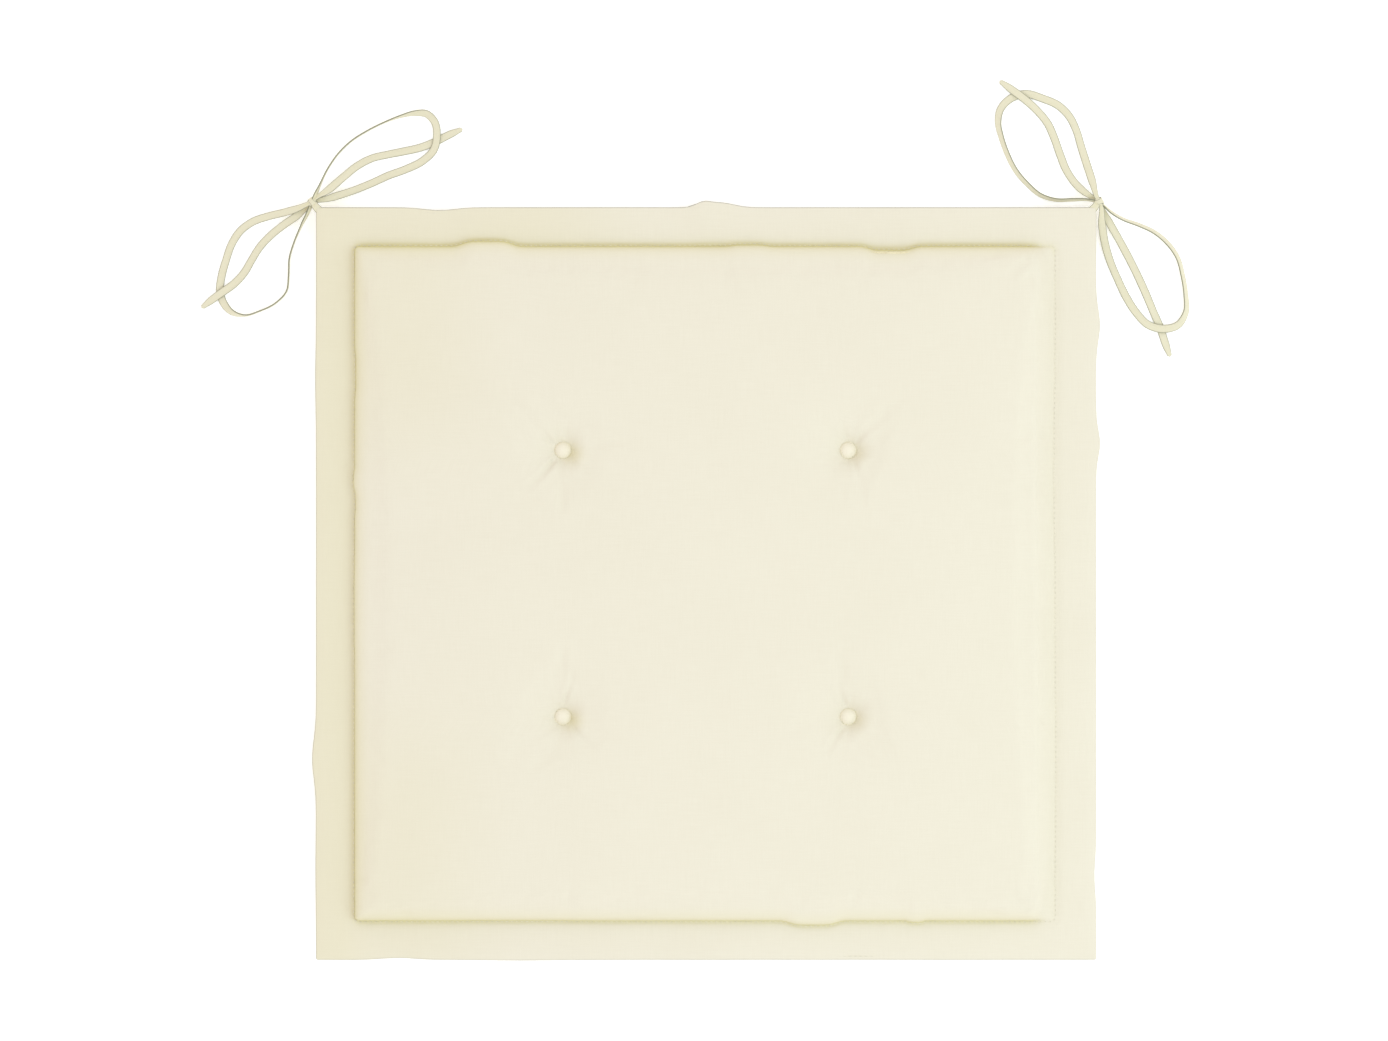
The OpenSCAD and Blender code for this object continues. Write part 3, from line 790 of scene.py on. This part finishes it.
def ring_line(hx, hy, r, step):
    """Evenly spaced points round a rounded rectangle."""
    line = []
    for turn in range(4):
        corner_x = (hx - r) * (1 if turn in (0, 3) else -1)
        corner_y = (hy - r) * (1 if turn in (0, 1) else -1)
        for a in np.linspace(0, math.pi / 2, 9):
            angle = a + turn * math.pi / 2
            line.append((corner_x + r * math.cos(angle), corner_y + r * math.sin(angle)))
    line = np.array(line + line[:1])
    far = distances(line)
    at = np.linspace(0, far[-1], int(far[-1] / step), endpoint=False)
    return np.interp(at, far, line[:, 0]), np.interp(at, far, line[:, 1])


def border_stitches(name, node, up):
    """The topstitched line that joins both panels along the foot of the stuffed middle."""
    x, y = ring_line(FOOT_X + STITCH_OUT, FOOT_Y + STITCH_OUT, BODY_CORNER + STITCH_OUT, STITCH_PITCH)
    wx, wy = warp(x, y)
    proud = 0.18 - 0.12 * easy_side(x)
    points = np.stack([wx, wy, cover_height(x, y, up) + up * proud], axis=1)
    along = unit(np.roll(points, -1, axis=0) - np.roll(points, 1, axis=0))
    slant = 0.06 * up
    along = unit(along + slant * np.cross(along, (0, 0, 1)))
    face_up = np.tile([0.0, 0.0, float(up)], (len(points), 1))
    verts, faces = stitch_row(points, along, face_up, STITCH_LENGTH, STITCH_R, STITCH_SINK)
    piece = make_mesh(name, verts, faces, "pad", "thread", THREAD)
    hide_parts(node)


def seam_thread():
    """The closing seam's thread, hidden between the panels just inside the outline."""
    x, y = ring_line(EDGE_X - SEAM_IN, EDGE_Y - SEAM_IN, 2, 4.0)
    wx, wy = warp(x, y)
    count, sides = len(x), 6
    middle = np.stack([wx, wy, np.full(count, SEAM_Z)], axis=1)
    along = np.roll(middle, -1, axis=0) - np.roll(middle, 1, axis=0)
    across = unit(np.cross(along, (0, 0, 1)))
    turn = circle(sides)
    ring = [middle + SEAM_R * (math.cos(a) * across + math.sin(a) * np.array([0, 0, 1])) for a in turn]
    verts = np.stack(ring, axis=1).reshape(-1, 3)
    faces = []
    for k in range(count):
        for j in range(sides):
            a, b = k * sides + j, k * sides + (j + 1) % sides
            nxt = sides * ((k + 1) % count)
            faces.append((a, b, nxt + (j + 1) % sides, nxt + j))
    piece = make_mesh("edge_seam", verts, faces, "pad", "thread", THREAD)
    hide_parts("edge_seam_thread")


border_stitches("border_stitches_top", "border_stitch_upper_thread", 1)
border_stitches("border_stitches_under", "border_stitch_under_thread", -1)
seam_thread()

# ---------------------------------------------------------------- stuffing

WADDING_T = 3.0


def below(points, depth, up, inset):
    """The part of a panel's grid over the stuffed middle, sunk under the cloth."""
    use_x = np.abs(points[:, points.shape[1] // 2, 0]) < FOOT_X - inset
    use_y = np.abs(points[points.shape[0] // 2, :, 1]) < FOOT_Y - inset
    sunk = points - grid_normals(points) * depth * up
    return sunk[use_x][:, use_y]


def make_wadding(name, points, up):
    """One layer of wadding under a panel, squeezed thin where it meets the other layer."""
    outer = below(points, PANEL_T + 0.15, up, 1.0)
    inner = below(points, PANEL_T + WADDING_T, up, 1.0)
    squeeze = SEAM_Z + 0.2 * up
    outer[..., 2] = np.maximum(outer[..., 2] * up, squeeze * up) * up
    inner[..., 2] = np.maximum(inner[..., 2] * up, squeeze * up - 0.15) * up
    piece = shell_between(name, outer, inner, "pad", "wadding", WADDING, up)
    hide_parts(name.replace("_layer", ""))


def make_foam():
    """The foam block: its top and bottom follow the cover, one wadding's thickness in."""
    inset = WADDING_T + 1.5
    xs = np.linspace(-(FOOT_X - inset), FOOT_X - inset, 76)
    ys = np.linspace(-(FOOT_Y - inset), FOOT_Y - inset, 74)
    x, y = np.meshgrid(xs, ys, indexing="ij")
    depth = WADDING_T + 2 * PANEL_T
    top = np.stack([x, y, np.maximum(cover_height(x, y, 1) - depth, SEAM_Z + 0.3)], axis=-1)
    low = np.stack([x, y, np.minimum(cover_height(x, y, -1) + depth, SEAM_Z - 0.3)], axis=-1)
    piece = shell_between("foam_block", top, low, "pad", "foam", FOAM, 1)
    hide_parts("foam_core")


make_wadding("wadding_top_layer", top_points, 1)
make_wadding("wadding_bottom_layer", low_points, -1)
make_foam()

# ---------------------------------------------------------------- ties

TAPE_W, TAPE_T = 5.0, 1.2

# Routes of the tapes' loops and tails: x, y, lift and roll, from the knot. Lift is the height of the tape's
# lower edge above the ground, and roll is 0 for a tape that lies flat and 90 for one on its edge.
LEFT_REAR_LOOP = [(1, 2, 8.6, 50), (4.5, 10, 4.4, 80), (10, 22, 0.8, 90), (17, 32, 0, 90),
    (25.5, 40, 0, 90), (35, 46, 0, 90), (46, 51.5, 0, 90), (57, 55.5, 0.2, 75), (66, 57.5, 0.6, 50),
    (73.5, 57, 1.2, 20), (78.5, 52, 1.4, 5), (80, 43, 1.4, 0), (78, 34, 0.9, 0), (71, 27, 0.2, 0),
    (60, 21.5, 0, 0), (49, 17.5, 0, 0), (38, 12.5, 0.2, 0), (27, 8, 1.2, 0), (17, 4.5, 3.8, 0),
    (9, 2, 6.6, 0), (2, 0.5, 8.2, 0)]
LEFT_SIDE_TAIL = [(-1, -1, 7.6, 0), (-9, -8, 5, 0), (-18, -14, 2, 0), (-27, -21, 0.3, 0),
    (-34.5, -29, 0, 0), (-39.5, -37, 0, 0), (-44.5, -45.5, 0.3, 0), (-51.5, -53, 1.2, 0),
    (-58.5, -58, 1.5, 0), (-65.5, -63, 0.7, 0), (-72, -68, 0, 0)]
LEFT_SIDE_LOOP = [(-1, -0.5, 9.4, 0), (-9, -4, 7.6, 0), (-18, -6.5, 4.2, 0), (-29, -9, 0.9, 0),
    (-39, -12.5, 0, 0), (-46.5, -18, 0, 0), (-52.5, -27, 0, 0), (-56, -37, 0, 0), (-59, -48, 0, 0),
    (-60, -57, 0, 0), (-57.5, -65, 0, 10), (-52, -71, 0, 45), (-44, -73, 0, 80), (-34, -70, 0, 90),
    (-24, -65, 0, 90), (-17, -57.5, 0, 90), (-15.5, -47, 0, 90), (-15, -36, 0, 90), (-12, -26, 0.6, 90),
    (-7, -15, 3, 80), (-1.5, -4, 6.6, 50)]
LEFT_REAR_TAIL = [(1, 1, 9.4, 0), (10, 7.5, 7.4, 0), (19.5, 16, 3, 0), (28.5, 23.5, 0.4, 0),
    (38, 28.5, 0, 0), (48.5, 31, 0, 0), (58.5, 33, 0, 0), (69.5, 35.5, 0, 0), (79.5, 39.5, 0, 0),
    (88.5, 44, 0, 0), (96.5, 47.5, 0, 0)]
RIGHT_REAR_LOOP = [(-1, 2, 9.4, 0), (-4, 13, 6.4, 0), (-7.5, 25, 1.8, 0), (-11, 36.5, 0.1, 0),
    (-14, 46.5, 0, 0), (-18.5, 55.5, 0, 0), (-25.5, 62.5, 0, 0), (-35.5, 67, 0, 0), (-47, 70, 0, 0),
    (-56.5, 67, 0, 0), (-63, 60, 0, 15), (-64.5, 51.5, 0, 40), (-62.5, 42, 0, 52), (-59, 32, 0, 55),
    (-53.5, 21, 0, 58), (-46, 12, 0, 60), (-37, 4.5, 0, 64), (-27, 1.5, 0.7, 70), (-17, 1.5, 2.8, 72),
    (-8, 1.5, 5.4, 74), (-2, 0.5, 7, 60)]
RIGHT_SIDE_TAIL = [(1, -2, 7.6, 0), (7, -13, 4, 0), (13.5, -24, 1, 0), (19.5, -35, 0, 0), (25, -46, 0, 0),
    (30.5, -58, 0, 0), (35.5, -70, 0, 0), (40, -80.5, 0, 0), (43, -89.5, 0, 0), (46.5, -99.5, 0, 0)]
RIGHT_SIDE_LOOP = [(1, -2, 9.6, 0), (2, -13, 7, 0), (4, -25, 2.4, 0), (7.5, -37, 0.2, 0), (12.5, -49, 0, 0),
    (18.5, -61.5, 0.1, 0), (25, -71.5, 0.6, 0), (32.5, -79, 1.4, 0), (42, -81.5, 1.5, 0),
    (51.5, -79, 0.8, 15), (56.5, -71, 0.1, 40), (56.5, -59.5, 0, 52), (54.5, -47, 0, 55),
    (51.5, -36, 0, 55), (45, -26.5, 0, 55), (36, -19, 0.1, 58), (26, -14.5, 1, 62), (16, -11, 3, 66),
    (8, -6.5, 5.2, 66), (2, -1.5, 6.6, 60)]
RIGHT_REAR_TAIL = [(-1, 1, 7.8, 0), (-8.5, 6, 6, 0), (-15.5, 13, 2.8, 0), (-20.5, 21, 0.7, 0),
    (-24.5, 31, 0, 0), (-28, 41, 0, 0), (-32.5, 51, 0, 0), (-40, 60, 0.6, 0), (-48, 67, 1.5, 0),
    (-56, 73, 0.8, 0), (-63.5, 78.5, 0, 0)]

# Tapes: side, loop, tail, and the length from the knot round the loop and back through it to the tail's tip
TAPES = {
    "left_tape_rear_loop": ("left", LEFT_REAR_LOOP, LEFT_SIDE_TAIL, 0.317),
    "left_tape_side_loop": ("left", LEFT_SIDE_LOOP, LEFT_REAR_TAIL, 0.324),
    "right_tape_rear_loop": ("right", RIGHT_REAR_LOOP, RIGHT_SIDE_TAIL, 0.328),
    "right_tape_side_loop": ("right", RIGHT_SIDE_LOOP, RIGHT_REAR_TAIL, 0.325)}


def smooth_route(points, step):
    """A smooth curve through rows of x, y, z and further values, sampled evenly, and its length."""
    p = np.array(points, float)
    h = np.linalg.norm(np.diff(p[:, :3], axis=0), axis=1)
    slope = np.diff(p, axis=0) / h[:, None]
    inner = (slope[1:] * h[:-1, None] + slope[:-1] * h[1:, None]) / (h[1:] + h[:-1])[:, None]
    tangent = np.vstack([slope[:1], inner, slope[-1:]])
    knots = np.concatenate([[0], np.cumsum(h)])
    s = np.linspace(0, knots[-1], int(knots[-1] / step * 5))
    i = np.clip(np.searchsorted(knots, s, side="right") - 1, 0, len(h) - 1)
    t, gap = ((s - knots[i]) / h[i])[:, None], h[i][:, None]
    curve = (2 * t ** 3 - 3 * t ** 2 + 1) * p[i] + (t ** 3 - 2 * t ** 2 + t) * gap * tangent[i]
    curve += (3 * t ** 2 - 2 * t ** 3) * p[i + 1] + (t ** 3 - t ** 2) * gap * tangent[i + 1]
    far = distances(curve[:, :3])
    at = np.linspace(0, far[-1], int(far[-1] / step) + 1)
    return np.stack([np.interp(at, far, column) for column in curve.T], axis=1), far[-1]


def ribbon_frame(centres, roll):
    """Across and through directions of a tape at each point of its route."""
    along = unit(np.gradient(centres, axis=0))
    level = unit(np.cross((0, 0, 1), along))
    rise = np.cross(along, level)
    c, s = np.cos(np.radians(roll))[:, None], np.sin(np.radians(roll))[:, None]
    return along, c * level + s * rise, c * rise - s * level


SECTION_POINTS = 24
HEM_AT = 0.55                       # where a tape's line of stitches runs, as a part of its half width


def ribbon(centres, wide, thick, half_w, half_t, curl):
    """A strip of folded tape with rounded edges, a stitched hollow near one edge, and a curl across it."""
    turn = circle(SECTION_POINTS)
    cw, ct = np.cos(turn), np.sin(turn)
    w = np.sign(cw) * np.abs(cw) ** 0.6
    t = np.sign(ct) * np.abs(ct) ** 0.75
    hollow = 0.22 * bell(w, HEM_AT, 0.16) + 0.10 * bell(w, -0.7, 0.2)
    t = t * (1 - hollow * (np.abs(ct) > 0.3))
    bend = w ** 2 - 0.35
    verts = centres[:, None] + half_w[:, None, None] * w[None, :, None] * wide[:, None]
    lift = half_t[:, None] * t[None] + (curl * half_w)[:, None] * bend[None]
    verts = verts + lift[:, :, None] * thick[:, None]
    count = len(centres)
    faces = tube_faces(count, SECTION_POINTS)
    across = np.repeat((w * TAPE_W / 2 + (ct < 0) * 9)[None], count, axis=0)
    along = np.repeat(distances(centres)[:, None], SECTION_POINTS, axis=1)
    # painted shade: a warm tone in the stitched hollows and in the pleat where the tape curls, and a dark one
    # along both edges
    fold = 0.5 * hollow[None] + np.clip(curl * 4, 0, 0.8)[:, None] * bell(w, 0.1, 0.3)[None]
    rim = np.repeat(smooth((np.abs(w) - 0.76) / 0.24)[None], count, axis=0)
    return verts.reshape(-1, 3), faces, across, along, fold, rim


def ribbon_piece(name, parts, body):
    """Several ribbons as one piece."""
    verts, faces = joined(parts)
    across, along, fold, rim = (np.concatenate([np.ravel(part[k]) for part in parts]) for k in (2, 3, 4, 5))
    piece = make_mesh(name, verts, faces, body, "tie_tape", TAPE)
    cloth_map(piece, across, along)
    point_value(piece, "fold", fold)
    point_value(piece, "rim", rim)
    return piece


def knot_centre(side):
    low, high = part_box(f"{side}_bow_knot")
    return np.array((low + high) / 2) / MM


def tape_route(side, loop, tail):
    """Points down the middle of one tape, with its roll: round the loop, through the knot, out to the tip."""
    knot = knot_centre(side)
    rows = []
    for x, y, lift, roll in loop + tail:
        turn = math.radians(roll)
        rows.append((x, y, lift + TAPE_W / 2 * math.sin(turn) + TAPE_T / 2 * math.cos(turn), roll))
    middle = (0, 0, knot[2], rows[len(loop) - 1][3] / 2)
    rows = [(0, 0, knot[2], rows[0][3])] + rows[:len(loop)] + [middle] + rows[len(loop):]
    curve, length = smooth_route(rows, 1.1)
    curve[:, :2] += knot[:2]
    return curve, length


def make_tape(name, side, loop, tail):
    curve, measured = tape_route(side, loop, tail)
    centres, roll = curve[:, :3], curve[:, 3]
    along, wide, thick = ribbon_frame(centres, roll)
    far = np.arange(len(centres)) * measured / (len(centres) - 1)
    left = measured - far
    near = np.linalg.norm(centres[:, :2] - knot_centre(side)[:2], axis=1)
    gather = np.minimum(1, 0.45 + near / 26)
    tip = 1 - 0.42 * smooth((9 - left) / 9)
    blunt = np.sqrt(np.clip(1 - (1 - np.clip(left / 1.3, 0, 1)) ** 2, 0.02, 1))
    half_w = TAPE_W / 2 * gather * tip * blunt
    hem = 1 + 0.35 * smooth((7.5 - left) / 0.8)
    half_t = TAPE_T / 2 * (1 + 0.5 * (1 - gather)) * hem * np.maximum(blunt, 0.35)
    ripple = np.array([wobble(f, 0, SIDES[side] * 9, 17, 1) for f in far])
    half_w = half_w * (1 + 0.05 * ripple)
    curl = 0.16 * (1 - gather) / 0.5 + 0.05 * ripple
    parts = ribbon(centres, wide, thick, half_w, half_t, curl)
    parts[0][:, 2] = np.maximum(parts[0][:, 2], 0.03)
    piece = ribbon_piece(name.replace("_tape", "") + "_tape", [parts], f"{side}_bow")
    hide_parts(name)
    # topstitching down one edge of the folded tape
    pick = np.arange(6, len(centres) - 3, 2)
    seam_at = centres[pick] + wide[pick] * (half_w * HEM_AT)[pick, None]
    face = thick[pick] * (half_t * 0.80)[pick, None]
    rows = []
    for way in (1, -1):
        rows.append(stitch_row(seam_at + way * face, along[pick], way * thick[pick], 1.7, 0.13, 0.22))
    stitches = make_mesh(piece.name + "_stitches", *joined(rows), f"{side}_bow", "thread", THREAD)
    return piece, stitches, centres * MM


KNOT_AXIS = {"left": 40, "right": 112}


def make_knot(side):
    """The tied middle of a bow: a gathered core with two bands of tape wound round it."""
    centre = knot_centre(side)
    turn = math.radians(KNOT_AXIS[side])
    axis = np.array([math.cos(turn), math.sin(turn), 0])
    flat = np.array([-math.sin(turn), math.cos(turn), 0])
    up = np.array([0, 0, 1.0])
    parts = []
    # each band: the angle it starts at, its slope, its radius and its place along the knot
    bands = ((20, 0.30, 2.35, -0.75), (200, -0.42, 2.25, 0.85))
    for start, tilt, radius, offset in bands:
        t = np.linspace(0, 1, 40)
        a = np.radians(start) + t * math.radians(400)
        out = np.cos(a)[:, None] * flat + np.sin(a)[:, None] * up
        r = radius * (1 - 0.35 * smooth((t - 0.86) / 0.14) - 0.35 * smooth((0.14 - t) / 0.14))
        slant = offset + tilt * np.sin(a) * radius + (t - 0.5) * 0.9
        centres = centre + r[:, None] * out + slant[:, None] * axis
        along = unit(np.gradient(centres, axis=0))
        thick = unit(out - (out * along).sum(1)[:, None] * along)
        wide = np.cross(thick, along)
        half_w = 1.4 * (1 - 0.3 * np.abs(2 * t - 1) ** 4)
        parts.append(ribbon(centres, wide, thick, half_w, np.full(40, 0.5), np.full(40, -0.28)))
    # the core that the bands are wound round
    t = np.linspace(-1, 1, 22)
    centres = centre + (t * 3.1)[:, None] * axis
    half = 0.35 + 2.05 * np.sqrt(np.clip(1 - t ** 2, 0, 1))
    wide, thick = np.tile(flat, (22, 1)), np.tile(up, (22, 1))
    parts.append(ribbon(centres, wide, thick, half, half * 0.9, np.zeros(22)))
    piece = ribbon_piece(f"{side}_knot", parts, f"{side}_bow")
    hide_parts(f"{side}_bow_knot")
    return piece


def make_standing_part(side):
    """Both tapes' ends, sewn in between the panels and gathered from the seam to the knot."""
    joint = next(j for j in frame["joints"] if j["name"] == f"{side}_bow_swing")
    seam = np.array(joint["pos_m"]) / MM
    knot = knot_centre(side)
    out = unit(np.array([SIDES[side], 1, 0.0]))
    parts = []
    for layer in (1, -1):
        rows = [(*(seam - 10 * out), 0), (*(seam - 5 * out), 0), (*(seam - 0.5 * out), 0)]
        rows += [(*(seam + 1.6 * out + (0, 0, -0.2)), 0), (*(knot - 1.2 * out), 0), (*knot, 0)]
        curve, length = smooth_route(rows, 0.7)
        far = np.arange(len(curve)) * length / (len(curve) - 1)
        wide, thick = ribbon_frame(curve[:, :3], curve[:, 3])[1:]
        gather = 1.1 - 0.2 * smooth((far - 7) / 8)
        half_t = 0.30 + 0.5 * smooth((far - 9) / 4)
        centres = curve[:, :3] + layer * (half_t + 0.02)[:, None] * thick
        parts.append(ribbon(centres, wide, thick, TAPE_W / 2 * gather, half_t, layer * 0.5 * (1.1 - gather)))
    piece = ribbon_piece(f"{side}_tape_ends", parts, None)
    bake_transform(piece)
    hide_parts(f"{side}_tape_sewn_end")


for side in SIDES:
    knot = make_knot(side)
    for name, (tape_side, loop, tail, length) in TAPES.items():
        if tape_side != side:
            continue
        tape, stitches, path = make_tape(name, side, loop, tail)
    make_standing_part(side)

for node, obj in frame["nodes"].items():
    for ending, material in (("_cap", METAL), ("_back", METAL), ("_twine", TWINE)):
        if node.endswith(ending):
            obj.data.materials.clear()
            obj.data.materials.append(material)

# ---------------------------------------------------------------- floor, light, camera

FLOOR_HALF, FLOOR_Z = 6, -0.0002

floor_mesh = bpy.data.meshes.new("floor")
floor_corners = [(x * FLOOR_HALF, y * FLOOR_HALF, 0) for x, y in ((-1, -1), (1, -1), (1, 1), (-1, 1))]
floor_mesh.from_pydata(floor_corners, [], [(0, 1, 2, 3)])
floor = add_object("floor", floor_mesh)
floor.location.z = FLOOR_Z
floor_look = new_material("floor", (0.93, 0.93, 0.93), 0.9)
floor_shader = floor_look.node_tree.nodes["Principled BSDF"]
set_inputs(floor_shader, Emission_Color=(1, 1, 1, 1), Emission_Strength=0.28)
floor_mesh.materials.append(floor_look)


def area_light(name, place, size, power, color):
    data = bpy.data.lights.new(name, "AREA")
    data.shape = "DISK"
    data.size = size
    data.energy = power
    data.color = color
    lamp = add_object(name, data)
    lamp.location = place
    lamp.rotation_mode = "QUATERNION"
    lamp.rotation_quaternion = (-Vector(place)).to_track_quat("-Z", "Y")


area_light("key", (0.86, -0.31, 1.31), 1.2, 5.0, (0.66, 0.98, 1.0))
world = bpy.data.worlds.new("studio")
world.use_nodes = True
set_inputs(world.node_tree.nodes["Background"], Color=(1.0, 0.967, 0.958, 1), Strength=1.075)
bpy.context.scene.world = world

# The camera looks straight down, and its picture is VIEW_W wide at the height VIEW_Z of the pad, in metres
VIEW_X, VIEW_Y, VIEW_Z, VIEW_W = -0.0074, 0.0404, 0.02, 0.891
CAMERA_Z, SENSOR_W = 4.0, 36
camera_data = bpy.data.cameras.new("camera")
camera_data.sensor_width = SENSOR_W
camera_data.lens = SENSOR_W * (CAMERA_Z - VIEW_Z) / VIEW_W
camera = add_object("camera", camera_data)
camera.location = (VIEW_X, VIEW_Y, CAMERA_Z)
bpy.context.scene.camera = camera
bpy.context.scene.view_settings.view_transform = "Standard"
